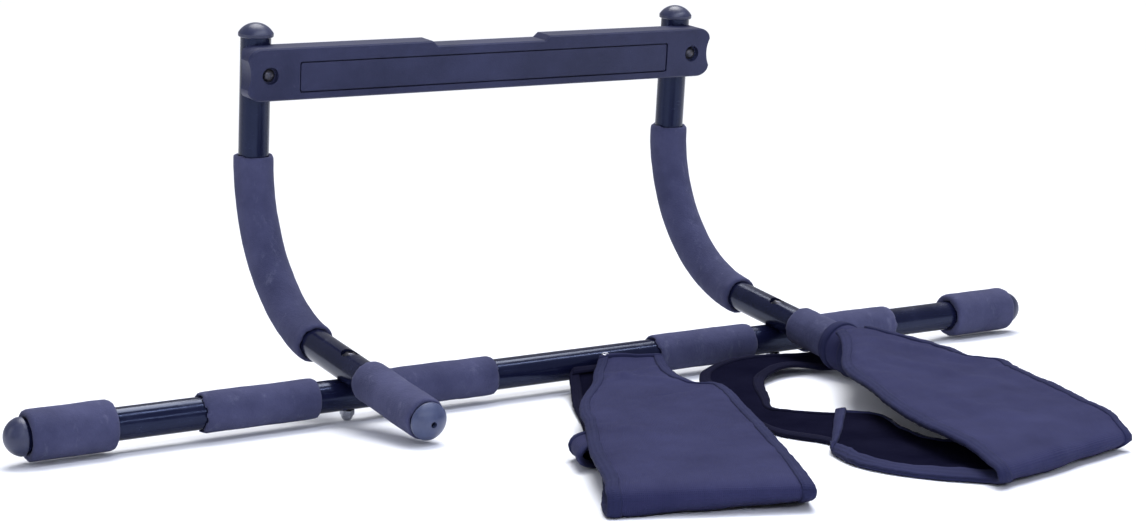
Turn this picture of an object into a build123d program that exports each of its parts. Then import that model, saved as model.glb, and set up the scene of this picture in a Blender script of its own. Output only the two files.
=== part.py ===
"""Doorway pull up bar with two fabric ab slings, resting on the floor.

The main bar lies along X.  Two bent hook tubes cross over it, run back and curve up to a door rest
beam.  Everything is first drawn in the bar frame, whose origin is the middle of the main bar's axis
(-Y is the side that the handles point to), and is then moved so that the origin is the bottom centre
of the whole part's box.
"""

import os
from math import copysign, cos, radians, sin, sqrt

from build123d import *

# ---- main bar and tubes -------------------------------------------------------------------------
TUBE_R = 12.7            # 1 inch steel tube, used for the main bar and the hooks
WALL = 1.5
BAR_END = 474.0          # tube end, each side of the middle
JOINT_X = 262.0          # where an outer tube butts against the centre tube
SPIGOT_R = TUBE_R - WALL - 0.1
SPIGOT_IN = 185.0        # inner end of the outer tube's swaged spigot
HOOK_X = 208.8           # hook tubes, each side of the middle

# ---- hook tubes ---------------------------------------------------------------------------------
FRONT_TILT = 11.4        # degrees, the handles slope down towards the front
HOOK_RISE = 22.5         # hook axis above bar axis, where the hook's dent seats on the bar
HANDLE_LEN = 131.0       # from the crossing to the handle's open end
HOOK_STRAIGHT = 51.0     # from the crossing back to the bend
BEND_R = 132.4
BEND_ANGLE = 87.3
HOOK_TOP = 350.0         # tube length from the crossing to the upper open end

# ---- foam ---------------------------------------------------------------------------------------
FOAM_R = 16.1            # grips on the middle of the bar
END_FOAM_R = 19.6        # thicker foam that bears on the door casing
SLEEVE_R = 16.6          # foam on the hooks
END_FOAM = (405.5, 472.7)
OUTER_GRIP = (237.8, 335.5)
INNER_GRIP = (78.0, 180.0)
HANDLE_FOAM = (37.0, 130.3)
SLEEVE_TOP = 252.0
SLEEVE_START = {"left": 54.0, "right": 49.0}
FOAM_EDGE = 2.2

# ---- end caps -----------------------------------------------------------------------------------
CAP_R = 14.6
CAP_FLANGE = 3.0
CAP_EDGE = 0.7
CAP_PLUG = 18.0
VENT_R = 2.4

# ---- door rest beam, in its own frame: X along it, Y up the hooks, Z out of its front -------------
REST_HALF = 225.7
REST_BOW = 2.8           # how far the hollowed ends curve in
REST_CORNER = (13.0, 9.8)
REST_DRAFT = (6.5, 9.0)  # the ends fall away to the back, along the beam and in depth
REST_LOW = 301.0         # heights are tube lengths from the crossing
REST_HIGH = 344.5
REST_BACK = 8.4
REST_FRONT = 29.4
NOTCH_DEPTH = 4.0
NOTCH = (-56.0, 55.0)
NOTCH_RAMP = 4.6
REST_BOLT = 322.0
PANEL_HALF = 181.0
PANEL_SPAN = (308.0, 331.5)
PANEL_DEPTH = 1.2
RECESS_R = 7.2
RECESS_DEPTH = 4.5

# ---- fasteners, M6 ------------------------------------------------------------------------------
BOLT_R = 3.0
HOLE_R = 3.3
HEAD_R = 5.3
HEAD_H = 3.6
HEAD_RIM = 0.8
SOCKET_FLAT = 2.0
SOCKET_DEPTH = 2.2
NUT_FLAT = 5.0           # half the width across flats
NUT_H = 9.4
NUT_HEX_H = 4.2
NUT_COLLAR = 1.4
NUT_DOME_R = 4.7
WASHER_R = 7.0
WASHER_H = 1.2
DIMPLE_R = 7.4           # pressed into the hook's top for the crossing bolt's head
DIMPLE_FLOOR = 8.0       # above the hook's axis

# ---- slings -------------------------------------------------------------------------------------
FLOOR = -22.0            # floor level in the bar frame
PAD_W = 138.0
PAD_T = 6.5
STRAP_W = 50.0
STRAP_T = 3.6
NECK_GAP = 0.6
NECK_T = 2.4
NECK_SPAN = (90.0, 120.0)

pieces = {}


def keep(name, shape):
    """Store one named sub-part, drawn in the bar frame."""
    pieces[name] = shape


def rod(radius, low, high, axis=Axis.X):
    """Cylinder along an axis through the origin, from low to high."""
    plane = Plane(origin=axis.position, z_dir=axis.direction)
    return plane * Pos(0, 0, (low + high) / 2) * Cylinder(radius, high - low)


def pipe(radius, wall, low, high, axis=Axis.X):
    """Hollow cylinder along an axis, open at both ends."""
    return rod(radius, low, high, axis) - rod(radius - wall, low - 1, high + 1, axis)


def foam_ring(radius, low, high, axis=Axis.X):
    """Foam sleeve on a tube, with softened outer edges."""
    sleeve = rod(radius, low, high, axis)
    sleeve = fillet(sleeve.edges().filter_by(GeomType.CIRCLE), FOAM_EDGE)
    return sleeve - rod(TUBE_R, low - 1, high + 1, axis)


# ---- frames of the hooks ------------------------------------------------------------------------
TILT = radians(FRONT_TILT)
BEND = radians(BEND_ANGLE)
LEAN = TILT + BEND
BEND_LEN = BEND_R * BEND
BACK_DIR = Vector(0, cos(TILT), sin(TILT))
UP_DIR = Vector(0, cos(LEAN), sin(LEAN))
REST_NORMAL = Vector(0, -sin(LEAN), cos(LEAN))


def hook_point(x, length, off=0.0):
    """Point on a hook tube's axis at a tube length behind the crossing, off towards the inside."""
    lift = Vector(0, -sin(TILT), cos(TILT))
    start = Vector(x, 0, HOOK_RISE)
    if length <= HOOK_STRAIGHT:
        return start + BACK_DIR * length + lift * off
    centre = start + BACK_DIR * HOOK_STRAIGHT + lift * BEND_R
    turn = min((length - HOOK_STRAIGHT) / BEND_R, BEND)
    inward = lift * cos(turn) - BACK_DIR * sin(turn)
    point = centre - inward * (BEND_R - off)
    return point + UP_DIR * max(0.0, length - HOOK_STRAIGHT - BEND_LEN)


def hook_path(x, low, high):
    """Axis of a hook tube between two tube lengths, with straight ends and one bend."""
    bend_end = HOOK_STRAIGHT + BEND_LEN
    middle = (max(low, HOOK_STRAIGHT) + min(high, bend_end)) / 2
    bend_low = max(low, HOOK_STRAIGHT)
    bend_high = min(high, bend_end)
    edges = []
    if low < HOOK_STRAIGHT:
        edges.append(Edge.make_line(hook_point(x, low), hook_point(x, HOOK_STRAIGHT)))
    edges.append(
        Edge.make_three_point_arc(hook_point(x, bend_low), hook_point(x, middle), hook_point(x, bend_high))
    )
    if high > bend_end:
        edges.append(Edge.make_line(hook_point(x, bend_end), hook_point(x, high)))
    return Wire(edges)


def swept(x, radius, low, high):
    """Solid round bar along a hook tube's axis."""
    path = hook_path(x, low, high)
    section = Plane(origin=path @ 0, z_dir=path % 0) * Circle(radius)
    return sweep(section, path=path)


HANDLE_AXIS = {}
BOLT_AXIS = {}
SIDES = {"left": -1, "right": 1}
for side, sign in SIDES.items():
    HANDLE_AXIS[side] = Axis(hook_point(sign * HOOK_X, 0), -BACK_DIR)
    over_bar = hook_point(sign * HOOK_X, -HOOK_RISE * sin(TILT))
    BOLT_AXIS[side] = Axis(over_bar, Vector(0, -sin(TILT), cos(TILT)))


# ---- main bar: centre tube and two outer tubes with spigots ---------------------------------------
def crossing_bolt_hole(radius, low, high):
    """Both crossing bolt holes, along the bolts, between two heights from the hook axis."""
    return rod(radius, low, high, BOLT_AXIS["left"]) + rod(radius, low, high, BOLT_AXIS["right"])


bolt_holes = crossing_bolt_hole(HOLE_R, -60, 0)
keep("center_tube", pipe(TUBE_R, WALL, -JOINT_X + 0.2, JOINT_X - 0.2) - bolt_holes)
for side, sign in SIDES.items():
    low, high = sorted((sign * (JOINT_X + 0.2), sign * BAR_END))
    spigot_low, spigot_high = sorted((sign * SPIGOT_IN, sign * (JOINT_X + 12)))
    outer = rod(TUBE_R, low, high) + rod(SPIGOT_R, spigot_low, spigot_high)
    outer -= rod(SPIGOT_R - WALL, min(low, spigot_low) - 1, max(high, spigot_high) + 1)
    outer -= rod(TUBE_R - WALL, *sorted((sign * (JOINT_X + 14), sign * (BAR_END + 1))))
    keep(f"{side}_outer_tube", outer - bolt_holes)

# ---- foam on the main bar -------------------------------------------------------------------------
for side, sign in SIDES.items():
    for name, radius, span in (
        ("end_grip", END_FOAM_R, END_FOAM),
        ("outer_grip", FOAM_R, OUTER_GRIP),
        ("inner_grip", FOAM_R, INNER_GRIP),
    ):
        keep(f"{side}_{name}", foam_ring(radius, *sorted((sign * span[0], sign * span[1]))))


# ---- domed plugs ----------------------------------------------------------------------------------
def crown(radius, base, rise):
    """Profile of a round cap: from its rim at base to its pole on the axis, a signed rise away."""
    sphere = (radius**2 + rise**2) / (2 * rise)
    centre = base + rise - sphere
    halfway = centre + copysign(sqrt(sphere**2 - radius**2 / 4), rise)
    return ThreePointArc((radius, base), (radius / 2, halfway), (0, base + rise))


def plug(axis, seat, dome, vent=0.0):
    """Moulded cap: a plug inside the tube, a flange on its end and a dome, seat along the axis."""
    radius = TUBE_R - WALL - 0.05
    shoulder = seat + CAP_FLANGE
    outline = Polyline(
        (0, seat - CAP_PLUG),
        (radius, seat - CAP_PLUG),
        (radius, seat),
        (CAP_R - CAP_EDGE, seat),
        (CAP_R, seat + CAP_EDGE),
        (CAP_R, shoulder),
    )
    spine = Line((0, shoulder + dome), (0, seat - CAP_PLUG))
    face = make_face([outline, crown(CAP_R, shoulder, dome), spine])
    body = revolve(Plane.XZ * face, Axis.Z)
    body -= Pos(0, 0, seat - CAP_PLUG / 2 - 3) * Cylinder(radius - 2.0, CAP_PLUG - 2)
    if vent:
        body -= Pos(0, 0, seat + CAP_PLUG / 2) * Cylinder(vent, 4 * CAP_PLUG)
    return Plane(origin=axis.position, z_dir=axis.direction) * body


for side, sign in SIDES.items():
    bar_axis = Axis((0, 0, 0), (sign, 0, 0))
    keep(f"{side}_bar_end_cap", plug(bar_axis, BAR_END, 11.5))
    keep(f"{side}_handle_end_cap", plug(HANDLE_AXIS[side], HANDLE_LEN, 7.5, VENT_R))
    top = Axis(hook_point(sign * HOOK_X, HOOK_TOP), UP_DIR)
    keep(f"{side}_top_cap", plug(top, 0.0, 8.5))

# ---- hook tubes, dented where they seat on the bar and dimpled above for the bolt ---------------------
REST_BOLT_AXES = [Axis(hook_point(sign * HOOK_X, REST_BOLT), REST_NORMAL) for sign in SIDES.values()]
for side, sign in SIDES.items():
    x = sign * HOOK_X
    outside = swept(x, TUBE_R, -HANDLE_LEN, HOOK_TOP) - rod(TUBE_R, x - 40, x + 40)
    outside -= rod(DIMPLE_R, DIMPLE_FLOOR, 30, BOLT_AXIS[side])
    inside = swept(x, TUBE_R - WALL, -HANDLE_LEN - 1, HOOK_TOP + 1) - rod(TUBE_R + WALL, x - 40, x + 40)
    inside -= rod(DIMPLE_R + WALL, DIMPLE_FLOOR - WALL, 30, BOLT_AXIS[side])
    hook = outside - inside - rod(HOLE_R, -30, 30, BOLT_AXIS[side])
    for axis in REST_BOLT_AXES:
        hook -= rod(HOLE_R, -30, 30, axis)
    keep(f"{side}_hook_tube", hook)

    sleeve = swept(x, SLEEVE_R, SLEEVE_START[side], SLEEVE_TOP)
    rims = sleeve.edges().filter_by(GeomType.CIRCLE).sort_by(Axis.Z)
    sleeve = fillet([rims[0], rims[-1]], FOAM_EDGE)
    sleeve -= swept(x, TUBE_R, SLEEVE_START[side] - 1, SLEEVE_TOP + 1)
    keep(f"{side}_hook_sleeve", sleeve)
    keep(f"{side}_handle_grip", foam_ring(SLEEVE_R, *HANDLE_FOAM, axis=HANDLE_AXIS[side]))


# ---- door rest beam ---------------------------------------------------------------------------------
REST_PLANE = Plane(origin=hook_point(0, REST_LOW) - UP_DIR * REST_LOW, x_dir=(1, 0, 0), z_dir=REST_NORMAL)


def rest_corner(x, y, way_x, way_y):
    """Oval corner of the beam's outline, from its long edge to its end."""
    wide, high = REST_CORNER
    loose = 0.45
    return Bezier(
        (x - way_x * wide, y),
        (x - way_x * wide * loose, y),
        (x, y - way_y * high * loose),
        (x, y - way_y * high),
    )


def rest_outline():
    """Front outline of the beam: oval corners, hollowed ends and a shallow notch on top."""
    wide, high = REST_CORNER
    mid = (REST_LOW + REST_HIGH) / 2
    half = REST_HALF + REST_BOW
    notch_low = REST_HIGH - NOTCH_DEPTH
    lines = [
        Line((-half + wide, REST_LOW), (half - wide, REST_LOW)),
        Polyline(
            (half - wide, REST_HIGH),
            (NOTCH[1] + NOTCH_RAMP / 2, REST_HIGH),
            (NOTCH[1] - NOTCH_RAMP / 2, notch_low),
            (NOTCH[0] + NOTCH_RAMP / 2, notch_low),
            (NOTCH[0] - NOTCH_RAMP / 2, REST_HIGH),
            (-half + wide, REST_HIGH),
        ),
    ]
    for way in SIDES.values():
        end = way * half
        lines.append(rest_corner(end, REST_LOW, way, -1))
        lines.append(rest_corner(end, REST_HIGH, way, 1))
        lines.append(
            ThreePointArc((end, REST_LOW + high), (end - way * REST_BOW, mid), (end, REST_HIGH - high))
        )
    return make_face(lines)


def end_draft(way):
    """Wedge cut off the back of one end of the beam, so the end falls away behind its front edge."""
    along, deep = REST_DRAFT
    end = way * (REST_HALF + REST_BOW + 1)
    foot = REST_BACK - 1
    wedge = make_face(Polyline((end, foot), (end, foot + deep), (end - way * along, foot), close=True))
    return REST_PLANE * Pos(0, REST_HIGH + 1, 0) * extrude(Plane.XZ * wedge, REST_HIGH - REST_LOW + 2)


def slab(outline, back, front):
    """A flat outline in the beam's frame, made thick from back to front."""
    return REST_PLANE * Pos(0, 0, back) * extrude(outline, front - back)


panel_mid = (PANEL_SPAN[0] + PANEL_SPAN[1]) / 2
panel_high = PANEL_SPAN[1] - PANEL_SPAN[0]
panel_outline = Pos(0, panel_mid) * RectangleRounded(2 * PANEL_HALF, panel_high, 1.5)
window = Pos(0, panel_mid) * RectangleRounded(2 * PANEL_HALF + 2.4, panel_high + 2.4, 2.0)

beam = slab(rest_outline(), REST_BACK, REST_FRONT)
front_face = beam.faces().sort_by(Axis((0, 0, 0), REST_NORMAL))[-1]
beam = chamfer(front_face.edges(), 1.2)
beam -= slab(window, REST_FRONT - 3.2, REST_FRONT + 1)
for sign, axis in zip(SIDES.values(), REST_BOLT_AXES):
    beam -= end_draft(sign)
    beam -= rod(TUBE_R, -80, 20, Axis(hook_point(sign * HOOK_X, HOOK_TOP), UP_DIR))
    beam -= rod(HOLE_R, 0, 40, axis)
    beam -= rod(RECESS_R, REST_FRONT - RECESS_DEPTH, REST_FRONT + 5, axis)
keep("door_rest_beam", beam)
keep("door_rest_panel", slab(panel_outline, REST_FRONT - 3.2, REST_FRONT - PANEL_DEPTH + 0.6))


# ---- fasteners ----------------------------------------------------------------------------------------
def placed(axis, shape):
    """Move a shape drawn along Z onto an axis."""
    return Plane(origin=axis.position, z_dir=axis.direction) * shape


def hexagon(low, high, half_flat):
    """Hexagonal prism along Z."""
    return Pos(0, 0, low) * extrude(RegularPolygon(half_flat, 6, major_radius=False), high - low)


def domed_bolt(axis, seat, tip, socket=True):
    """Round-headed bolt: head standing on seat, with or without a socket, shank running down to tip."""
    rim = seat + HEAD_RIM
    outline = Polyline((0, tip), (BOLT_R, tip), (BOLT_R, seat), (HEAD_R, seat), (HEAD_R, rim))
    spine = Line((0, seat + HEAD_H), (0, tip))
    face = make_face([outline, crown(HEAD_R, rim, HEAD_H - HEAD_RIM), spine])
    bolt = revolve(Plane.XZ * face, Axis.Z)
    if socket:
        bolt -= hexagon(seat + HEAD_H - SOCKET_DEPTH, seat + HEAD_H + 1, SOCKET_FLAT)
    return placed(axis, bolt)


def acorn_nut(axis, seat, thread_tip):
    """Domed nut: a hexagon with a round crown below it, hollow as far as the bolt's tip."""
    top = seat - NUT_HEX_H
    shoulder = top - NUT_COLLAR
    collar = Polyline((0, top), (NUT_DOME_R, top), (NUT_DOME_R, shoulder))
    dome = crown(NUT_DOME_R, shoulder, seat - NUT_H - shoulder)
    spine = Line((0, seat - NUT_H), (0, top))
    body = revolve(Plane.XZ * make_face([collar, dome, spine]), Axis.Z) + hexagon(top, seat, NUT_FLAT)
    depth = seat + 1 - (thread_tip - 0.4)
    body -= Pos(0, 0, seat + 1 - depth / 2) * Cylinder(BOLT_R + 0.05, depth)
    return placed(axis, body)


def washer(axis, low, high, outer, inner=HOLE_R):
    """Flat ring."""
    return rod(outer, low, high, axis) - rod(inner, low - 1, high + 1, axis)


# crossing: the bolt head sits in the dimple on top of the hook, the nut below the bar
head_seat = DIMPLE_FLOOR + WASHER_H
bar_under = -(HOOK_RISE * cos(TILT) + TUBE_R) - 0.15
tip = bar_under - 6.0
keep("crossing_bolts", Compound([domed_bolt(axis, head_seat, tip) for axis in BOLT_AXIS.values()]))
keep("crossing_washers", Compound([washer(a, DIMPLE_FLOOR, head_seat, DIMPLE_R - 0.9) for a in BOLT_AXIS.values()]))
keep("crossing_nuts", Compound([acorn_nut(axis, bar_under, tip) for axis in BOLT_AXIS.values()]))

# door rest: heads in the beam's round recesses, washers and domed nuts behind the hooks
rest_seat = REST_FRONT - RECESS_DEPTH
behind = -TUBE_R - 0.1
rest_tip = behind - WASHER_H - 6.0
keep("door_rest_bolts", Compound([domed_bolt(a, rest_seat, rest_tip, False) for a in REST_BOLT_AXES]))
keep("door_rest_washers", Compound([washer(a, behind - WASHER_H, behind, WASHER_R) for a in REST_BOLT_AXES]))
keep("door_rest_nuts", Compound([acorn_nut(a, behind - WASHER_H, rest_tip) for a in REST_BOLT_AXES]))


# ---- slings -------------------------------------------------------------------------------------------
def ribbon(stations):
    """Flat fabric band as a closed solid.

    Each station is (x, y, z, heading, roll, width, thickness): the middle of the band, the angle of
    its crosswise direction from +X, how far that is rolled out of level, and its section.
    """
    centres = [Vector(*row[:3]) for row in stations]
    corners = []
    for i, (_, _, _, heading, roll, width, thick) in enumerate(stations):
        before = centres[max(i - 1, 0)]
        after = centres[min(i + 1, len(centres) - 1)]
        along = (after - before).normalized()
        turn = radians(heading)
        tip_up = radians(roll)
        across = Vector(cos(turn) * cos(tip_up), sin(turn) * cos(tip_up), sin(tip_up))
        normal = across.cross(along).normalized()
        side, up = across * (width / 2), normal * (thick / 2)
        middle = centres[i]
        corners.append([
            Vector(p.X, p.Y, max(p.Z, FLOOR))
            for p in (middle - side - up, middle + side - up, middle + side + up, middle - side + up)
        ])
    faces = [Face(Wire.make_polygon(corners[0][::-1])), Face(Wire.make_polygon(corners[-1]))]
    for first, second in zip(corners, corners[1:]):
        for k in range(4):
            m = (k + 1) % 4
            faces.append(Face(Wire.make_polygon([first[k], first[m], second[m]])))
            faces.append(Face(Wire.make_polygon([first[k], second[m], second[k]])))
    return Solid(Shell(faces))


def on_floor(thick):
    """Height of a band's middle when it lies on the floor."""
    return FLOOR + thick / 2


flat = on_floor(PAD_T)
strap_flat = on_floor(STRAP_T)

# front sling: flattened loop, its neck leaning on the bar, its pad folded at the front
front_upper = [
    (47, -25.5, 3.0, -6, -7, 58, STRAP_T),
    (28, -59, -1.5, -12, -4, 62, STRAP_T),
    (2, -96, -3.5, -20, 0, 85, 5.0),
    (-19, -141, -5.0, -25, 0, 107, PAD_T),
    (-54, -207, -5.8, -26, 0, 126, PAD_T),
    (-109, -314, -6.2, -26, 0, PAD_W, PAD_T),
    (-163, -422, -6.8, -26, 0, 134, PAD_T),
    (-176, -447, -9.0, -26, 0, 132, PAD_T),
]
front_lower = [
    (-178, -451, -15.2, -26, 0, 132, PAD_T),
    (-163, -422, flat, -26, 0, 134, PAD_T),
    (-109, -314, flat, -26, 0, PAD_W, PAD_T),
    (-75, -242, flat, -26, 0, PAD_W, PAD_T),
]
front_strap = [
    (-74.5, -241, strap_flat + 0.6, -26, 0, 96, STRAP_T),
    (-56, -205, strap_flat, -26, 0, 60, STRAP_T),
    (-22, -130, strap_flat, -22, 0, STRAP_W, STRAP_T),
    (6, -62, strap_flat, -12, 0, STRAP_W, STRAP_T),
    (22, -32, -17.0, -8, 0, 54, STRAP_T),
    (30, -21.5, -8.0, -6, -4, 58, STRAP_T),
    (40, -21.0, 2.5, -6, -7, 58, STRAP_T),
]
front_pad = ribbon(front_upper + front_lower)
keep("front_sling_pad", front_pad)
keep("front_sling_strap", ribbon(front_strap) - front_pad)

# right sling: open loop, its neck round the right handle, its pad folded at the front
right_upper = [
    (207, -118, 20.6, 0, 0, 40, STRAP_T),
    (203, -146, 13.5, 4, 0, 62, 5.0),
    (191, -180, 7.0, 8, 1, 104, PAD_T),
    (175, -222, 3.2, 12, 3, 134, PAD_T),
    (154, -284, 1.0, 14, 5, 148, PAD_T),
    (129, -368, -1.5, 15, 5, 152, PAD_T),
    (106, -452, -6.0, 15, 3, 166, PAD_T),
    (97, -484, -9.0, 15, 1, 174, PAD_T),
]
right_lower = [
    (91, -491, -15.2, 15, 0, 168, PAD_T),
    (74, -462, flat, 16, 0, 152, PAD_T),
    (46, -400, flat, 28, 0, 150, PAD_T),
    (36, -345, flat, 42, 0, 150, PAD_T),
    (30, -300, flat, 57, 0, 146, PAD_T),
]
right_strap = [
    (40, -275, strap_flat, 52, 0, 84, STRAP_T),
    (44, -230, strap_flat, 22, 0, 72, STRAP_T),
    (62, -162, strap_flat, -15, 0, 62, STRAP_T),
    (87, -108, strap_flat, -32, 0, 56, STRAP_T),
    (110, -71, -17.0, -52, 0, 58, STRAP_T),
    (143, -50, -8.5, -80, 6, 60, STRAP_T),
    (174, -55, -3.5, -94, 6, 56, STRAP_T),
    (188, -80, -6.0, -100, 0, 44, STRAP_T),
]
neck_r = SLEEVE_R + NECK_GAP
neck = rod(neck_r + NECK_T, *NECK_SPAN, axis=HANDLE_AXIS["right"])
bore = rod(neck_r, 0, 400, axis=HANDLE_AXIS["right"])
right_pad = ribbon(right_upper + right_lower) - rod(neck_r + NECK_T + 0.2, 0, 160, axis=HANDLE_AXIS["right"])
keep("right_sling_neck", neck - bore)
keep("right_sling_pad", right_pad)
keep("right_sling_strap", ribbon(right_strap) - right_pad - neck)

# ---- move the origin to the bottom centre of the box, then write ---------------------------------------
box = Compound([shape for shape in pieces.values()]).bounding_box()
origin = Vector((box.min.X + box.max.X) / 2, (box.min.Y + box.max.Y) / 2, box.min.Z)
print("origin in the bar frame", origin)
os.makedirs("parts", exist_ok=True)
for name, shape in pieces.items():
    export_step(Pos(*(-origin)) * shape, f"parts/{name}.step")
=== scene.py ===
"""Doorway pull up bar with two fabric slings, finished for rendering."""

import math

import bmesh
import bpy
import numpy as np
from mathutils import Matrix, Vector, noise


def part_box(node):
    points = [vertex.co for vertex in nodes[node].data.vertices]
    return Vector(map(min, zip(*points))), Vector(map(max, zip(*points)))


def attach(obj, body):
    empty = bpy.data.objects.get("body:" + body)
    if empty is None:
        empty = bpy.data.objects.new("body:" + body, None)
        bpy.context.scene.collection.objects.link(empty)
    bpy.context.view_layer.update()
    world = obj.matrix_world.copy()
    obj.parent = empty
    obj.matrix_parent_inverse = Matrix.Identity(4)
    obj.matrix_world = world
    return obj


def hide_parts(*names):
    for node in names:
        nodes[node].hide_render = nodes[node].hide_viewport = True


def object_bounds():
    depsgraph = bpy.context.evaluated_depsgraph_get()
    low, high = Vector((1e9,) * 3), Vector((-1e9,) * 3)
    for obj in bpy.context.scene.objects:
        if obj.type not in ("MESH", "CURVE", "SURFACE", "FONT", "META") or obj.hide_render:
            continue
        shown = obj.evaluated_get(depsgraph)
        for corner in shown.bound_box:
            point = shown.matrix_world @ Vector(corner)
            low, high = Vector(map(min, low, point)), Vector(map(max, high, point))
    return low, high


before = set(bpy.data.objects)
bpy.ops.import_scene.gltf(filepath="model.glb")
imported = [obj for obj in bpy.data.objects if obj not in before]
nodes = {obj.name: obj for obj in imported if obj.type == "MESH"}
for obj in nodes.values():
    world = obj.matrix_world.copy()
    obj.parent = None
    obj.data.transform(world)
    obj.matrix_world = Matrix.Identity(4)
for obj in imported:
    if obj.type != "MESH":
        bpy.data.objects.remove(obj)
cad_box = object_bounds()

# ---- studio ----------------------------------------------------------------------------------------
# The bar lies on a plain pale floor under a wide soft light, with narrow strips for the tubes' gloss,
# seen from the left, a little above it.  The eye and the lights are set out from BAR_MIDDLE, the
# middle of the main bar's axis.
MM = 0.001
low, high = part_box("center_tube")
BAR_MIDDLE = (low + high) / 2
FLOOR_Z = cad_box[0][2]

EYE = Vector((-1071.8, -1712.5, 326.4)) * MM
EYE_TURN = math.radians(32.12)
EYE_DIP = math.radians(6.79)
EYE_ROLL = math.radians(-1.75)

ahead = Vector((
    math.sin(EYE_TURN) * math.cos(EYE_DIP),
    math.cos(EYE_TURN) * math.cos(EYE_DIP),
    -math.sin(EYE_DIP),
))
level = Vector((math.cos(EYE_TURN), -math.sin(EYE_TURN), 0))
above = level.cross(ahead)
sideways = level * math.cos(EYE_ROLL) + above * math.sin(EYE_ROLL)
upright = above * math.cos(EYE_ROLL) - level * math.sin(EYE_ROLL)

camera = bpy.data.objects.new("camera", bpy.data.cameras.new("camera"))
camera.data.sensor_width = 36
camera.data.lens = 77.43
camera.data.clip_end = 1000
facing = Matrix((sideways, upright, -ahead)).transposed().to_4x4()
camera.matrix_world = Matrix.Translation(BAR_MIDDLE + EYE) @ facing
bpy.context.scene.collection.objects.link(camera)
bpy.context.scene.camera = camera
bpy.context.scene.view_settings.view_transform = "Standard"


COOL_WHITE = (0.8, 0.85, 1.0)


def soft_light(name, place, target, length, height, power):
    """A soft box at a place, pointed at a target, both measured from the bar's middle."""
    lamp = bpy.data.lights.new(name, "AREA")
    lamp.shape = "RECTANGLE"
    lamp.size = length
    lamp.size_y = height
    lamp.energy = power
    lamp.color = COOL_WHITE
    made = bpy.data.objects.new(name, lamp)
    start = BAR_MIDDLE + Vector(place)
    aim = BAR_MIDDLE + Vector(target) - start
    made.matrix_world = Matrix.Translation(start) @ aim.to_track_quat("-Z", "Y").to_matrix().to_4x4()
    bpy.context.scene.collection.objects.link(made)


soft_light("front light", (-1.5, -1.7, 1.5), (0, 0, 0.1), 0.7, 0.7, 3)
soft_light("low strip", (-0.4, -2.0, 0.85), (0, 0, 0), 2.6, 0.08, 14)
soft_light("long strip", (0.3, -0.9, 1.9), (0, 0, 0), 2.6, 0.1, 24)
soft_light("side strip", (-1.9, 0.5, 0.7), (0, 0.1, 0.15), 0.12, 1.2, 4)

sky = bpy.data.lights.new("overhead soft box", "SUN")
sky.energy = 2.9
sky.angle = math.radians(38)
overhead = bpy.data.objects.new("overhead soft box", sky)
overhead.rotation_euler = Vector((0.28, 0.34, 1.0)).to_track_quat("Z", "Y").to_euler()
bpy.context.scene.collection.objects.link(overhead)

world = bpy.data.worlds.new("room")
world.use_nodes = True
world.node_tree.nodes["Background"].inputs["Color"].default_value = (0.93, 0.94, 1.0, 1)
world.node_tree.nodes["Background"].inputs["Strength"].default_value = 0.38
bpy.context.scene.world = world


class Wire:
    """What comes out of a shader node.  Sums and products of wires add the nodes that work them out."""

    def __init__(self, finish, socket):
        self.finish = finish
        self.socket = socket

    def maths(self, operation, left, right):
        return self.finish.node("ShaderNodeMath", {"operation": operation}, {0: left, 1: right})

    def __add__(self, other):
        return self.maths("ADD", self, other)

    def __sub__(self, other):
        return self.maths("SUBTRACT", self, other)

    def __rsub__(self, other):
        return self.maths("SUBTRACT", other, self)

    def __mul__(self, other):
        return self.maths("MULTIPLY", self, other)

    __radd__ = __add__
    __rmul__ = __mul__


class Finish:
    """A material in the making.  Every node in it comes from one method."""

    def __init__(self, name, colour, roughness, **steady):
        self.material = bpy.data.materials.new(name)
        self.material.use_nodes = True
        self.surface = self.material.node_tree.nodes["Principled BSDF"]
        self.surface.inputs["Base Color"].default_value = (*colour, 1)
        self.surface.inputs["Roughness"].default_value = roughness
        for label, value in steady.items():
            socket = label.replace("_", " ").title().replace("Ior", "IOR")
            self.surface.inputs[socket].default_value = value

    def node(self, kind, settings=None, inputs=None, output=0):
        made = self.material.node_tree.nodes.new(kind)
        for key, value in (settings or {}).items():
            if key == "stops":
                for stop, (place, shade) in zip(made.color_ramp.elements, value):
                    stop.position = place
                    stop.color = (shade, shade, shade, 1)
            else:
                setattr(made, key, value)
        self.plug(made, inputs or {})
        return Wire(self, made.outputs[output])

    def plug(self, made, inputs):
        for key, value in inputs.items():
            if isinstance(value, Wire):
                self.material.node_tree.links.new(value.socket, made.inputs[key])
            else:
                made.inputs[key].default_value = value

    def place(self):
        """Where a point of the piece is, in metres, riding with the piece."""
        return self.node("ShaderNodeTexCoord", output="Object")

    def cloud(self, at, scale, detail=3.0, rough=0.5):
        """Soft noise from 0 to 1, with so many waves to the metre."""
        sockets = {"Vector": at, "Scale": scale, "Detail": detail, "Roughness": rough}
        return self.node("ShaderNodeTexNoise", inputs=sockets)

    def mask(self, value, start, end):
        """0 where the value is under start, 1 where it is over end."""
        return self.node("ShaderNodeValToRGB", {"stops": ((start, 0.0), (end, 1.0))}, {"Fac": value})

    def between(self, factor, first, second):
        """A colour from first to second as the factor goes from 0 to 1."""
        return self.node(
            "ShaderNodeMix",
            {"data_type": "RGBA"},
            {"Factor": factor, 6: (*first, 1) if isinstance(first, tuple) else first, 7: (*second, 1)},
            output=2,
        )

    def relief(self, height, depth):
        """Bump of a height from 0 to 1, so many metres deep."""
        bump = self.node("ShaderNodeBump", inputs={"Height": height, "Distance": depth})
        self.plug(self.surface, {"Normal": bump})


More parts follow.
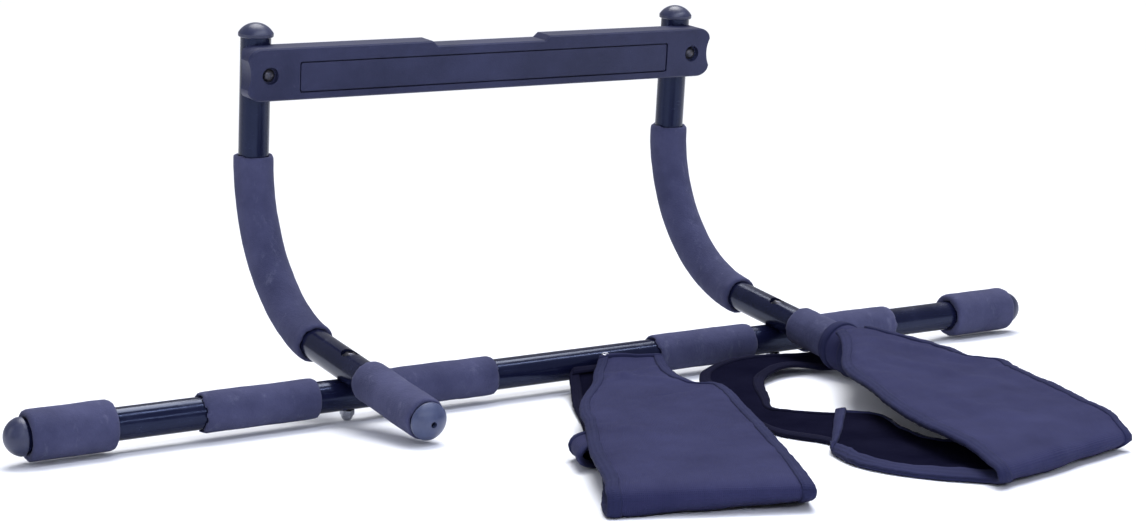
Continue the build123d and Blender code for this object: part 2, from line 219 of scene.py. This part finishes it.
def studio_floor():
    """Pale seamless paper."""
    bpy.ops.mesh.primitive_plane_add(size=600, location=(0, 0, FLOOR_Z))
    paper = bpy.context.object
    paper.name = "floor"
    finish = Finish("pale paper", (0.86, 0.87, 0.9), 0.9, specular_ior_level=0.1)
    finish.relief(finish.cloud(finish.place(), 60), 0.0004)
    paper.data.materials.append(finish.material)


studio_floor()


# ---- steel tubes ------------------------------------------------------------------------------------
# One inch steel tube with a glossy powder coat, almost black.  The coat has a faint orange peel, and
# dust and hair scratches take its gloss down in places.
COAT_DARK = (0.005, 0.006, 0.022)
COAT_DUSTY = (0.012, 0.014, 0.04)


def gloss_coat():
    bluish = (0.5, 0.62, 1, 1)
    finish = Finish("gloss powder coat", COAT_DARK, 0.2, specular_ior_level=0.34, specular_tint=bluish)
    at = finish.place()
    peel = finish.cloud(at, 700, 2.0)
    dust = finish.mask(finish.cloud(at, 45, 6.0, 0.65), 0.48, 0.78)
    streaks = finish.node("ShaderNodeMapping", inputs={"Vector": at, "Scale": (12, 260, 260)})
    scratch = finish.mask(finish.cloud(streaks, 3, 4.0, 0.7), 0.6, 0.72)
    finish.plug(finish.surface, {
        "Base Color": finish.between(dust * 0.5 + scratch * 0.12, COAT_DARK, COAT_DUSTY),
        "Roughness": 0.17 + dust * 0.16 + scratch * 0.15,
    })
    finish.relief(peel * 0.8 + scratch * 0.2, 0.00006)
    return finish.material


def dress(names, material):
    """Give a finish to pieces that keep their own shape."""
    for name in names:
        nodes[name].data.materials.clear()
        nodes[name].data.materials.append(material)


tubes = [name for name in nodes if name.endswith("_tube")]
dress(tubes, gloss_coat())


# ---- foam grips and sleeves --------------------------------------------------------------------------
# Closed-cell foam sleeves pushed over the tubes: thick ones on the bar's ends, thinner ones for the
# hands, and long ones round the hooks' bends.  They are matt, finely pored, and scuffed pale in places.
FOAM_VOXEL = 0.0026
FOAM_UNEVEN = 0.00035
FOAM_DARK = (0.034, 0.037, 0.086)
FOAM_LIGHT = (0.066, 0.069, 0.142)
FOAM_SCUFF = (0.2, 0.21, 0.31)


def foam():
    gloss = {"specular_ior_level": 0.14, "sheen_weight": 0.04, "sheen_roughness": 0.6}
    finish = Finish("foam", FOAM_LIGHT, 0.92, **gloss)
    at = finish.place()
    pores = finish.node("ShaderNodeTexVoronoi", {"feature": "F1"}, {"Vector": at, "Scale": 900.0})
    grain = finish.cloud(at, 420, 4.0, 0.6)
    mottle = finish.mask(finish.cloud(at, 28, 5.0, 0.6), 0.35, 0.7)
    scuffs = finish.node("ShaderNodeMapping", inputs={"Vector": at, "Scale": (46, 46, 16)})
    scuff = finish.mask(finish.cloud(scuffs, 1.6, 6.0, 0.75), 0.56, 0.74)
    worn = finish.between(mottle * 0.8 + grain * 0.2, FOAM_DARK, FOAM_LIGHT)
    finish.plug(finish.surface, {
        "Base Color": finish.between(scuff * 0.3, worn, FOAM_SCUFF),
        "Roughness": 0.86 + mottle * 0.1,
    })
    finish.relief(pores * 0.5 + grain, 0.00035)
    return finish.material


def applied(piece):
    """Turn a piece's modifiers into its mesh."""
    seen = piece.evaluated_get(bpy.context.evaluated_depsgraph_get())
    mesh = bpy.data.meshes.new_from_object(seen)
    piece.modifiers.clear()
    piece.data = mesh
    return piece


def shaded(mesh):
    for face in mesh.polygons:
        face.use_smooth = True


def soft_sleeve(node, material):
    """A foam sleeve as it really sits: evenly meshed, its surface very slightly uneven."""
    sleeve = bpy.data.objects.new(node + "_foam", nodes[node].data.copy())
    bpy.context.scene.collection.objects.link(sleeve)
    remesh = sleeve.modifiers.new("remesh", "REMESH")
    remesh.mode = "VOXEL"
    remesh.voxel_size = FOAM_VOXEL
    smooth = sleeve.modifiers.new("smooth", "SMOOTH")
    smooth.iterations = 2
    applied(sleeve)
    for point in sleeve.data.vertices:
        swell = noise.noise(point.co * 38) + 0.5 * noise.noise(point.co * 120)
        point.co += point.normal * swell * FOAM_UNEVEN
    shaded(sleeve.data)
    sleeve.data.materials.clear()
    sleeve.data.materials.append(material)
    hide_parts(node)
    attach(sleeve, "frame")


foam_finish = foam()
foam_names = [name for name in nodes if name.endswith(("_grip", "_sleeve"))]
for name in foam_names:
    soft_sleeve(name, foam_finish)


# ---- caps --------------------------------------------------------------------------------------------
# Moulded plugs: domes in the bar's ends, vented domes in the handles, mushroom caps on the uprights.
# Navy plastic with a satin mould finish, rubbed paler in places, and paler all over on the handles.
def cap_plastic(name, dark, light):
    finish = Finish(name, dark, 0.36, specular_ior_level=0.4)
    at = finish.place()
    grain = finish.cloud(at, 1300, 2.0)
    rubbed = finish.mask(finish.cloud(at, 70, 5.0, 0.6), 0.4, 0.7)
    finish.plug(finish.surface, {
        "Base Color": finish.between(rubbed * 0.6, dark, light),
        "Roughness": 0.3 + rubbed * 0.14,
    })
    finish.relief(grain, 0.00008)
    return finish.material


caps = [name for name in nodes if name.endswith("_cap")]
vented = [name for name in caps if "handle" in name]
domed = [name for name in caps if name not in vented]
dress(domed, cap_plastic("satin cap plastic", (0.022, 0.026, 0.062), (0.046, 0.052, 0.105)))
dress(vented, cap_plastic("pale cap plastic", (0.048, 0.06, 0.125), (0.08, 0.1, 0.19)))


# ---- door rest ---------------------------------------------------------------------------------------
# A long moulded beam bolted across the uprights, with a blank panel let into its face.  Hard plastic
# with a fine leathery grain, paler where it has been handled.
def moulded_plastic():
    finish = Finish("moulded plastic", (0.024, 0.027, 0.066), 0.5, specular_ior_level=0.22)
    at = finish.place()
    grain = finish.node("ShaderNodeTexVoronoi", {"feature": "SMOOTH_F1"}, {"Vector": at, "Scale": 700.0})
    handled = finish.mask(finish.cloud(at, 16, 6.0, 0.65), 0.38, 0.72)
    flecks = finish.mask(finish.cloud(at, 260, 5.0, 0.7), 0.62, 0.74)
    worn = finish.between(handled * 0.9, (0.017, 0.02, 0.054), (0.033, 0.037, 0.088))
    finish.plug(finish.surface, {
        "Base Color": finish.between(flecks * 0.15, worn, (0.1, 0.1, 0.17)),
        "Roughness": 0.44 + handled * 0.14,
    })
    finish.relief(grain, 0.00012)
    return finish.material


dress(["door_rest_beam", "door_rest_panel"], moulded_plastic())


# ---- fasteners ---------------------------------------------------------------------------------------
# M6 round-headed bolts, washers and domed nuts through the crossings and the rest.  The bolts and the
# washers are blackened, browner where the blacking is thin, and the domed nuts are bright zinc.
def black_steel():
    finish = Finish("blackened steel", (0.05, 0.052, 0.07), 0.3, metallic=0.85)
    at = finish.place()
    thin = finish.mask(finish.cloud(at, 420, 4.0, 0.6), 0.45, 0.7)
    finish.plug(finish.surface, {
        "Base Color": finish.between(thin * 0.7, (0.05, 0.052, 0.07), (0.13, 0.115, 0.11)),
        "Roughness": 0.3 + thin * 0.2,
    })
    finish.relief(finish.cloud(at, 1500, 2.0), 0.00004)
    return finish.material


def zinc_steel():
    finish = Finish("bright zinc", (0.42, 0.43, 0.47), 0.25, metallic=1.0)
    at = finish.place()
    bloom = finish.mask(finish.cloud(at, 300, 4.0, 0.6), 0.4, 0.7)
    finish.plug(finish.surface, {
        "Base Color": finish.between(bloom * 0.7, (0.48, 0.49, 0.54), (0.24, 0.25, 0.3)),
        "Roughness": 0.2 + bloom * 0.2,
    })
    finish.relief(finish.cloud(at, 1200, 2.0), 0.00003)
    return finish.material


dress([name for name in nodes if name.endswith(("_bolts", "_washers"))], black_steel())
bright_zinc = zinc_steel()
dress([name for name in nodes if name.endswith("_nuts")], bright_zinc)


# ---- front sling -------------------------------------------------------------------------------------
# A loop of woven nylon over thin padding, pressed flat, its inner side coloured near black as painted
# shade.  Its panel runs from a neck leaning on the bar to a fold at the front, turns under, and comes
# back as a strap.  Each row below is the left and the right edge of the cloth, in millimetres from the
# middle of the bar's axis.
BINDING_WIDTH = 8.5 * MM
BINDING_PROUD = 0.9 * MM
STITCH_LENGTH = 2.6 * MM
STITCH_GAP = 4.4 * MM
THREAD = 0.35 * MM
ROW_STEP = 3.5 * MM
TAPE_THREAD = 1.5 * MM
PUCKER_REACH = 12 * MM
SEAM_EDGE = 5.0 * MM
SEAM_INSETS = (0, 1, 3, 5, 7.5, 9, 10, 11.5, 14)
LOWEST = FLOOR_Z - BAR_MIDDLE[2] + 0.2 * MM


def nylon(name, dark, light, dust, gloss=0.05):
    """Woven nylon: crossed threads, faint streaks along the cloth, and pale rubbed spots."""
    nap = {"sheen_weight": gloss / 3, "sheen_roughness": 0.5}
    finish = Finish(name, dark, 0.8, specular_ior_level=gloss, **nap)
    cut = finish.node("ShaderNodeUVMap", {"uv_map": "cut"})
    at = finish.place()
    threads = {"Vector": cut, "Scale": 260.0, "Distortion": 0.6}
    warp = finish.node("ShaderNodeTexWave", {"bands_direction": "X"}, threads)
    weft = finish.node("ShaderNodeTexWave", {"bands_direction": "Y"}, threads)
    slub = finish.node("ShaderNodeMapping", inputs={"Vector": cut, "Scale": (420, 30, 1)})
    streak = finish.cloud(slub, 1.0, 3.0)
    cloudy = finish.mask(finish.cloud(at, 20, 5.0, 0.6), 0.3, 0.75)
    lint = finish.mask(finish.cloud(at, 190, 6.0, 0.75), 0.66, 0.76)
    body = finish.between(cloudy * 0.7 + streak * 0.3, dark, light)
    finish.plug(finish.surface, {
        "Base Color": finish.between(lint * 0.35, body, dust),
        "Roughness": 0.7 + cloudy * 0.12,
    })
    finish.relief(warp * weft + streak * 0.3, 0.00025)
    return finish.material


outer_nylon = nylon("outer nylon", (0.017, 0.018, 0.058), (0.037, 0.039, 0.1), (0.16, 0.16, 0.26))
edge_tape = nylon("edge tape", (0.014, 0.016, 0.05), (0.026, 0.028, 0.076), (0.11, 0.11, 0.18))
# The loops' inner side is near black: painted shade for the inside of the loops and the straps lying
# under the panels.
painted_shade_inside = nylon(
    "inside nylon, painted shade", (0.0035, 0.0035, 0.011), (0.009, 0.009, 0.022), (0.04, 0.04, 0.06), gloss=0.0
)
# The straps' edge tape is near black: painted shade for the straps that lie inside the loops, under the
# panels.
painted_shade_tape = nylon(
    "strap tape, painted shade", (0.004, 0.004, 0.014), (0.01, 0.01, 0.028), (0.05, 0.05, 0.08), gloss=0.02
)


def carried(rows, step):
    """Carry rows of left and right edge points along a smooth curve, one row to each step."""
    rows = np.array(rows, float)
    rows[:, :6] *= MM
    middle = (rows[:, 0:3] + rows[:, 3:6]) / 2
    gaps = np.linalg.norm(np.diff(middle, axis=0), axis=1)
    knots = np.concatenate([[0], np.cumsum(np.sqrt(gaps))])
    slopes = np.gradient(rows, knots, axis=0)
    made = []
    for i, gap in enumerate(gaps):
        span = knots[i + 1] - knots[i]
        parts = max(2, int(gap / step))
        for t in np.arange(parts) / parts:
            made.append(
                (2 * t**3 - 3 * t**2 + 1) * rows[i]
                + (t**3 - 2 * t**2 + t) * span * slopes[i]
                + (3 * t**2 - 2 * t**3) * rows[i + 1]
                + (t**3 - t**2) * span * slopes[i + 1]
            )
    made.append(rows[-1])
    return np.array(made)


def unit(vectors):
    return vectors / np.maximum(np.linalg.norm(vectors, axis=-1, keepdims=True), 1e-9)


class Cloth:
    """A band of cloth carried along its rows: a grid of points, the cloth's normal, and flat sizes."""

    def __init__(self, rows, crease=1.0, seed=0.0, folds=(), step=ROW_STEP):
        rows = carried(rows, step)
        left, right = rows[:, 0:3], rows[:, 3:6]
        width = np.linalg.norm(right - left, axis=1)
        self.thick = rows[:, 6] * MM
        insets = np.array(SEAM_INSETS) * MM
        share = np.minimum(insets[None] / width[:, None], 0.42 * insets / insets[-1])
        inner = np.linspace(0, 1, 20)[1:-1]
        middle = share[:, -1:] + (1 - 2 * share[:, -1:]) * inner[None]
        self.share = np.concatenate([share, middle, 1 - share[:, ::-1]], axis=1)
        grid = left[:, None] + (right - left)[:, None] * self.share[..., None]
        middle_line = (left + right) / 2
        self.run = np.concatenate([[0], np.cumsum(np.linalg.norm(np.diff(middle_line, axis=0), axis=1))])
        self.across = self.share * width[:, None]
        self.width = width
        normal = self.facing(grid)
        high = self.wrinkles(crease, seed) + sum(self.fold(*fold) for fold in folds)
        self.grid = grid + normal * high[..., None]
        self.normal = self.facing(self.grid)

    def facing(self, grid):
        along = np.gradient(grid, axis=0)
        side = np.gradient(grid, axis=1)
        return unit(np.cross(along, side))

    def wrinkles(self, crease, seed):
        """Soft creases along the pull of the cloth, and shallow puckers along its seams."""
        high = np.zeros(self.share.shape)
        for i, run in enumerate(self.run):
            for j, across in enumerate(self.across[i]):
                at = Vector((across * 34 + seed, run * 13, seed))
                fine = Vector((across * 75, run * 60 + seed, 3.1 + seed))
                near_edge = min(self.share[i, j], 1 - self.share[i, j]) * self.width[i]
                pucker = noise.noise(Vector((run * 210, seed, across * 20)))
                pucker *= math.exp(-near_edge / PUCKER_REACH)
                high[i, j] = 1.1 * noise.noise(at) + 0.4 * noise.noise(fine) + 0.45 * pucker
        return high * crease * MM

    def fold(self, across, run, to_across, to_run, rise, spread):
        """A soft ridge or groove between two points, in shares of the width and millimetres along."""
        start = np.array((across, run * MM))
        line = np.array((to_across, to_run * MM)) - start
        line[0] *= self.width.mean()
        spot_across = self.across - across * self.width[:, None]
        spot_run = self.run[:, None] - start[1]
        share = np.clip((spot_across * line[0] + spot_run * line[1]) / (line @ line), 0, 1)
        gap = np.hypot(spot_across - share * line[0], spot_run - share * line[1])
        return rise * MM * np.exp(-((gap / (spread * MM)) ** 2)) * np.sin(math.pi * (0.1 + 0.8 * share))

    def shell(self, name, outside, inside):
        """The cloth as a closed mesh, full in the middle and thin at its seamed edges."""
        edge = np.minimum(self.share, 1 - self.share) * self.width[:, None]
        full = 1 - np.exp(-edge / SEAM_EDGE)
        seam = np.exp(-(((edge - 9.5 * MM) / (1.3 * MM)) ** 2))
        half = self.thick[:, None] / 2 * (0.4 + 0.6 * full) - 0.45 * MM * seam
        top = self.grid + self.normal * half[..., None]
        bottom = self.grid - self.normal * half[..., None]
        top[..., 2] = np.maximum(top[..., 2], LOWEST)
        bottom[..., 2] = np.maximum(bottom[..., 2], LOWEST)
        rows, columns = self.share.shape
        points = np.concatenate([top.reshape(-1, 3), bottom.reshape(-1, 3)]) + np.array(BAR_MIDDLE)
        run = np.repeat(self.run[:, None], columns, axis=1)
        cut = np.stack([self.across, run], axis=-1).reshape(-1, 2)
        under = rows * columns
        faces, inside_faces = [], []
        for i in range(rows - 1):
            for j in range(columns - 1):
                a = i * columns + j
                ring = (a, a + columns, a + columns + 1, a + 1)
                faces.append(ring)
                inside_faces.append(tuple(under + k for k in reversed(ring)))
        border = list(range(columns))
        border += [i * columns + columns - 1 for i in range(1, rows)]
        border += [(rows - 1) * columns + j for j in range(columns - 2, -1, -1)]
        border += [i * columns for i in range(rows - 2, 0, -1)]
        rims = [(a, b, under + b, under + a) for a, b in zip(border, border[1:] + border[:1])]
        mesh = bpy.data.meshes.new(name)
        mesh.from_pydata(points.tolist(), [], faces + inside_faces + rims)
        layer = mesh.uv_layers.new(name="cut")
        for corner in mesh.loops:
            layer.data[corner.index].uv = cut[corner.vertex_index % under]
        piece = placed_mesh(name, mesh, outside, inside)
        # The inner faces take the second material, the near-black painted shade of the loops' inner
        # side.
        for k, face in enumerate(mesh.polygons):
            face.material_index = 1 if len(faces) <= k < 2 * len(faces) else 0
        return piece

    def edge_line(self, right):
        """Points, inward directions, normals and half thickness along one long edge."""
        column = -1 if right else 0
        inner = -7 if right else 6
        inward = unit(self.grid[:, inner] - self.grid[:, column])
        return self.grid[:, column], inward, self.normal[:, column], self.thick * 0.2

    def end_line(self, last):
        """The same along the band's first or last row."""
        row = -1 if last else 0
        inner = -5 if last else 4
        inward = unit(self.grid[inner] - self.grid[row])
        edge = np.minimum(self.share[row], 1 - self.share[row]) * self.width[row]
        half = self.thick[row] / 2 * (1 - 0.6 * np.exp(-edge / SEAM_EDGE))
        return self.grid[row], inward, self.normal[row], half


def placed_mesh(name, mesh, *materials):
    """Shade a mesh smooth, give it its materials and put it in the scene."""
    shaded(mesh)
    for material in materials:
        mesh.materials.append(material)
    piece = bpy.data.objects.new(name, mesh)
    bpy.context.scene.collection.objects.link(piece)
    return piece


def tube_mesh(name, loops, material):
    """A closed tube through rings of points that all have the same count."""
    rings, around = len(loops), len(loops[0])
    points = np.array(loops).reshape(-1, 3) + np.array(BAR_MIDDLE)
    faces = [tuple(reversed(range(around))), tuple((rings - 1) * around + k for k in range(around))]
    for i in range(rings - 1):
        for k in range(around):
            m = (k + 1) % around
            faces.append((i * around + k, i * around + m, (i + 1) * around + m, (i + 1) * around + k))
    mesh = bpy.data.meshes.new(name)
    mesh.from_pydata(points.tolist(), [], faces)
    made = bmesh.new()
    made.from_mesh(mesh)
    bmesh.ops.recalc_face_normals(made, faces=made.faces[:])
    made.to_mesh(mesh)
    made.free()
    layer = mesh.uv_layers.new(name="cut")
    for corner in mesh.loops:
        ring, spot = divmod(corner.vertex_index, around)
        layer.data[corner.index].uv = (spot * TAPE_THREAD, ring * ROW_STEP)
    return placed_mesh(name, mesh, material)


TAPE_OUTLINE = ((-1.1, 0), (-0.8, 0.7), (0.2, 1.0), (4.0, 1.05), (7.4, 0.95), (8.5, 0.6))


def binding(name, line, seed, width, material):
    """Tape folded over an edge and stitched down: a flat, slightly wavy tube."""
    edge, inward, normal, half = line
    width = np.broadcast_to(width, half.shape)
    outline = list(TAPE_OUTLINE) + [(out, -up) for out, up in reversed(TAPE_OUTLINE[1:])]
    loops = []
    for i in range(len(edge)):
        wave = noise.noise(Vector((i * 0.35, seed, 0))) * 0.5 * MM
        ring = []
        for out, up in outline:
            reach = out / TAPE_OUTLINE[-1][0] * width[i] if out > 0 else out * MM
            lift = up * (half[i] + BINDING_PROUD) * (1 + max(out, 0) * 0.11)
            point = edge[i] + inward[i] * (reach + wave) + normal[i] * lift
            point[2] = max(point[2], LOWEST)
            ring.append(point)
        loops.append(ring)
    return tube_mesh(name, loops, material)


def stitches(name, line, inset, side):
    """One row of short raised threads beside an edge."""
    edge, inward, normal, half = line
    lift = half * 1.7 + BINDING_PROUD * 1.15
    line = edge + inward * inset + normal * lift[:, None] * side
    line[:, 2] = np.maximum(line[:, 2], LOWEST + THREAD)
    gaps = np.linalg.norm(np.diff(line, axis=0), axis=1)
    run = np.concatenate([[0], np.cumsum(gaps)])
    starts = np.arange(2 * MM, run[-1] - STITCH_GAP, STITCH_GAP)
    made = bmesh.new()
    for start in starts:
        first, second = (
            np.array([np.interp(reach, run, line[:, k]) for k in range(3)])
            for reach in (start, start + STITCH_LENGTH)
        )
        along = Vector(second - first)
        turn = along.to_track_quat("Z", "Y").to_matrix().to_4x4()
        middle = Vector((first + second) / 2) + BAR_MIDDLE
        size = Matrix.Diagonal((THREAD, THREAD, along.length / 2, 1))
        thread = Matrix.Translation(middle) @ turn @ size
        bmesh.ops.create_uvsphere(made, u_segments=6, v_segments=5, radius=1.0, matrix=thread)
    mesh = bpy.data.meshes.new(name)
    made.to_mesh(mesh)
    made.free()
    return placed_mesh(name, mesh, thread_finish)


def thread():
    finish = Finish("bonded thread", (0.03, 0.03, 0.075), 0.5)
    finish.relief(finish.cloud(finish.place(), 2500), 0.00003)
    return finish.material


thread_finish = thread()
FRONT_PANEL = [
    (14, -20.5, 7.4, 74.5, -21.7, 1.6, 3.0),
    (3, -34, 3.6, 62, -44, 1.0, 3.2),
    (-13, -54, 0.4, 47, -72, 0, 3.6),
    (-36, -87, -2, 31, -112, -1.4, 4.4),
    (-60, -115, -3, 28, -138, -2.2, 5.0),
    (-84, -145, -3.6, 39, -151, -3.0, 5.6),
    (-108, -182, -3.6, 27, -186, -3.4, 6.0),
    (-127, -218, -3.2, 6, -228, -3.4, 6.2),
    (-151, -258, -3.2, -20, -281, -3.6, 6.4),
    (-178, -304, -3.4, -46, -330, -4.0, 6.4),
    (-203, -352, -3.8, -73, -384, -4.2, 6.4),
    (-225, -396, -4.6, -105, -446, -4.4, 6.0),
    (-236, -413, -5.4, -124, -481, -4.8, 5.2),
    (-239, -420, -8.4, -127, -489, -8.0, 4.6),
    (-240, -421, -14.0, -124, -484, -13.0, 4.6),
    (-241, -422, -18.4, -117, -470, -17.2, 4.8),
    (-233, -404, -19.2, -108, -454, -19.0, 5.0),
    (-192, -342, -19.2, -80, -398, -19.2, 5.2),
    (-156, -282, -19.2, -48, -335, -19.2, 5.2),
    (-130, -238, -19.3, -24, -282, -19.3, 5.0),
]
FRONT_STRAP = [
    (-128, -214, -19.8, -30, -262, -19.8, 3.2),
    (-93, -162, -19.9, -30, -190, -19.9, 3.0),
    (-50, -80, -18.0, 2, -104, -19.4, 3.0),
    (-28, -42, -12.8, 34, -52, -14.6, 3.0),
    (-19, -26, -7.0, 52, -25, -7.0, 3.0),
    (-15, -20.6, -3.2, 60, -20.8, -3.4, 3.0),
    (-11, -18.8, 0.4, 66, -19.4, -0.6, 2.8),
]
ROLL = [
    (-123, -273, -19.6, -105, -231, -19.6, 3.4),
    (-147, -279, -20.0, -127, -235, -20.0, 3.4),
    (-163, -284, -19.4, -143, -239, -19.4, 3.4),
    (-174, -288, -15.2, -154, -243, -15.2, 3.4),
    (-177, -289, -10.4, -157, -244, -10.4, 3.4),
    (-172, -287, -6.4, -152, -242, -6.4, 3.4),
    (-159, -283, -5.6, -139, -238, -5.6, 3.4),
    (-137, -276, -9.6, -119, -233, -9.6, 3.0),
]


def sewn(cloth, name, body, wide=BINDING_WIDTH, ends=(), material=None, side=1):
    """Bind a cloth's long edges and the given ends, stitch them, and put all of it on its body."""
    lines = {"left": (cloth.edge_line(False), wide), "right": (cloth.edge_line(True), BINDING_WIDTH)}
    for last in ends:
        lines["far_end" if last else "near_end"] = (cloth.end_line(last), BINDING_WIDTH)
    for k, (word, (line, width)) in enumerate(lines.items()):
        tape = binding(f"{name}_{word}_tape", line, k * 5.0, width, material or edge_tape)
        seam = stitches(f"{name}_{word}_stitches", line, 6.8 * MM, side)
        for part in (tape, seam):
            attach(part, body)


FRONT_FOLDS = (
    (0.5, 168, 0.72, 162, -1.7, 2.4),
    (0.05, 60, 0.6, 118, 2.6, 6.0),
    (0.95, 40, 0.45, 96, 2.4, 5.0),
    (0.9, 150, 0.55, 215, 2.0, 6.0),
    (0.1, 260, 0.45, 330, 2.2, 8.0),
    (0.3, 120, 0.38, 300, 1.8, 7.0),
)
front_cloth = Cloth(FRONT_PANEL, crease=1.3, seed=4.0, folds=FRONT_FOLDS)
front_panel = front_cloth.shell("front_sling_panel", outer_nylon, painted_shade_inside)
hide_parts("front_sling_pad")
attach(front_panel, "front_sling")
sewn(front_cloth, "front_panel", "front_sling", ends=(False, True))

strap_cloth = Cloth(FRONT_STRAP, crease=0.5, seed=9.0)
front_strap = strap_cloth.shell("front_sling_band", outer_nylon, painted_shade_inside)
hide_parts("front_sling_strap")
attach(front_strap, "front_sling")
sewn(strap_cloth, "front_band", "front_sling", ends=(True,), material=painted_shade_tape, side=-1)

roll_cloth = Cloth(ROLL, crease=0.3, seed=2.0)
roll = roll_cloth.shell("front_sling_roll", outer_nylon, painted_shade_inside)
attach(roll, "front_sling")
sewn(roll_cloth, "front_roll", "front_sling")


def eyelet(name, cloth, row, column, material):
    """A rolled steel ring let into the cloth."""
    facing = Vector(cloth.normal[row, column])
    proud = cloth.thick[row] / 2 + BINDING_PROUD
    centre = Vector(cloth.grid[row, column]) + BAR_MIDDLE + facing * proud
    stand = Matrix.Translation(centre) @ facing.to_track_quat("Z", "Y").to_matrix().to_4x4()
    section = ((1.6, -0.7), (1.6, 0.4), (2.0, 0.9), (2.6, 1.0), (3.1, 0.6), (3.3, -0.2), (2.5, -0.7))
    around, sides = 32, len(section)
    points = []
    for angle in np.arange(around) * math.tau / around:
        for out, up in section:
            points.append(stand @ (Vector((out * math.cos(angle), out * math.sin(angle), up)) * MM))
    faces = []
    for i in range(around):
        ahead = (i + 1) % around
        for k in range(sides):
            m = (k + 1) % sides
            faces.append((i * sides + k, ahead * sides + k, ahead * sides + m, i * sides + m))
    mesh = bpy.data.meshes.new(name)
    mesh.from_pydata(points, [], faces)
    ring = placed_mesh(name, mesh, material)
    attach(ring, "front_sling")


eyelet("front_sling_eyelet", front_cloth, 1, 3, bright_zinc)


# ---- right sling -------------------------------------------------------------------------------------
# The same loop, lying open.  Its neck band goes round the right handle, its panel comes forward over
# the handle's end to the fold, and the lower half turns left to a hem, where the strap is sewn on.
RIGHT_PANEL = [
    (189, -112, 19.0, 227, -112, 19.0, 3.0),
    (180, -130, 16.6, 231, -138, 16.4, 3.2),
    (158, -160, 12.2, 236, -168, 12.6, 4.0),
    (130, -194, 9.0, 237, -202, 9.6, 5.0),
    (109, -230, 6.6, 224, -244, 7.2, 5.8),
    (100, -252, 6.0, 236, -262, 7.2, 6.0),
    (86, -286, 4.6, 226, -290, 6.2, 6.2),
    (60, -340, 3.0, 203, -352, 4.4, 6.4),
    (40, -400, 0.0, 181, -412, 2.4, 6.4),
    (24, -462, -3.4, 172, -446, -1.0, 6.2),
    (10, -500, -6.6, 164, -466, -5.4, 5.8),
    (4, -515, -9.0, 160, -476, -8.8, 5.0),
    (4, -517, -13.5, 160, -478, -13.2, 4.6),
    (8, -511, -17.6, 158, -472, -17.4, 4.6),
    (10, -500, -19.2, 155, -458, -19.0, 5.0),
    (-6, -470, -19.3, 130, -425, -19.2, 5.2),
    (-19, -428, -19.3, 76, -378, -19.2, 5.2),
    (-20, -396, -19.3, 82, -326, -19.2, 5.2),
    (-12, -366, -19.2, 104, -272, -18.8, 5.0),
    (-5, -350, -19.2, 90, -236, -18.4, 4.8),
]
RIGHT_STRAP = [
    (6, -356, -19.2, 82, -262, -18.8, 2.4),
    (14, -322, -19.8, 86, -242, -19.4, 2.8),
    (7, -272, -19.9, 68, -208, -19.6, 3.0),
    (24, -210, -19.9, 66, -186, -19.7, 3.0),
    (50, -153, -19.4, 88, -152, -18.8, 3.0),
    (68, -104, -18.2, 110, -116, -17.4, 3.0),
    (84, -64, -15.6, 130, -90, -15.4, 3.0),
    (104, -42, -12.6, 148, -78, -13.4, 3.0),
    (142, -26, -9.6, 168, -70, -12.6, 3.0),
    (176, -25, -9.4, 186, -70, -14.0, 3.0),
    (206, -34, -10.4, 208, -78, -18.0, 3.0),
    (226, -50, -8.0, 227, -92, -14.0, 3.0),
    (232, -72, -1.0, 232, -106, -5.0, 2.8),
    (230, -88, 6.5, 230, -118, 1.0, 2.6),
]

# The neck band's edges lie this far in front of the crossing, round the handle's sloping axis, and
# its end laps over its start by a little.  All are millimetres, and the crossing is from BAR_MIDDLE.
NECK_FRONT, NECK_BACK, NECK_RADIUS, NECK_LAP = 122, 89, 18.5, 0.9
HANDLE_DIP = math.radians(11.4)
CROSSING = Vector((208.8, 0, 22.5))

RIGHT_FOLDS = (
    (0.25, 60, 0.8, 260, 3.4, 8.0),
    (0.08, 120, 0.5, 330, 3.0, 9.0),
    (0.5, 40, 0.95, 150, 2.8, 7.0),
    (0.3, 190, 0.25, 360, -2.2, 8.0),
    (0.75, 110, 0.9, 330, -2.4, 8.0),
    (0.12, 70, 0.3, 150, 2.6, 6.0),
)
right_cloth = Cloth(RIGHT_PANEL, crease=1.7, seed=14.0, folds=RIGHT_FOLDS)
right_panel = right_cloth.shell("right_sling_panel", outer_nylon, painted_shade_inside)
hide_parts("right_sling_pad")
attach(right_panel, "right_sling")
fold_run = right_cloth.run[np.argmin(right_cloth.grid[:, 0, 1])]
widening = (fold_run - 10 * MM, fold_run + 25 * MM)
wide_tape = np.interp(right_cloth.run, widening, (BINDING_WIDTH, 19 * MM))
sewn(right_cloth, "right_panel", "right_sling", wide_tape, ends=(True,))

right_strap_cloth = Cloth(RIGHT_STRAP, crease=0.6, seed=21.0)
right_strap = right_strap_cloth.shell("right_sling_band", outer_nylon, painted_shade_inside)
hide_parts("right_sling_strap")
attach(right_strap, "right_sling")
sewn(right_strap_cloth, "right_band", "right_sling", material=painted_shade_tape, side=-1)

handle_run = Vector((0, -math.cos(HANDLE_DIP), -math.sin(HANDLE_DIP)))
handle_lift = Vector((0, -math.sin(HANDLE_DIP), math.cos(HANDLE_DIP)))
neck_rows = []
for turn in range(-100, 271, 18):
    out = Vector((math.cos(math.radians(turn)), 0, 0)) + handle_lift * math.sin(math.radians(turn))
    radius = NECK_RADIUS + (NECK_LAP if turn > 240 else 0)
    near = CROSSING + handle_run * NECK_FRONT + out * radius
    far = CROSSING + handle_run * NECK_BACK + out * radius
    neck_rows.append((*far, *near, 2.0))
neck_cloth = Cloth(neck_rows, crease=0.25, seed=33.0, step=2.4 * MM)
neck_band = neck_cloth.shell("right_sling_ring", outer_nylon, painted_shade_inside)
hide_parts("right_sling_neck")
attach(neck_band, "right_sling")
sewn(neck_cloth, "right_ring", "right_sling")
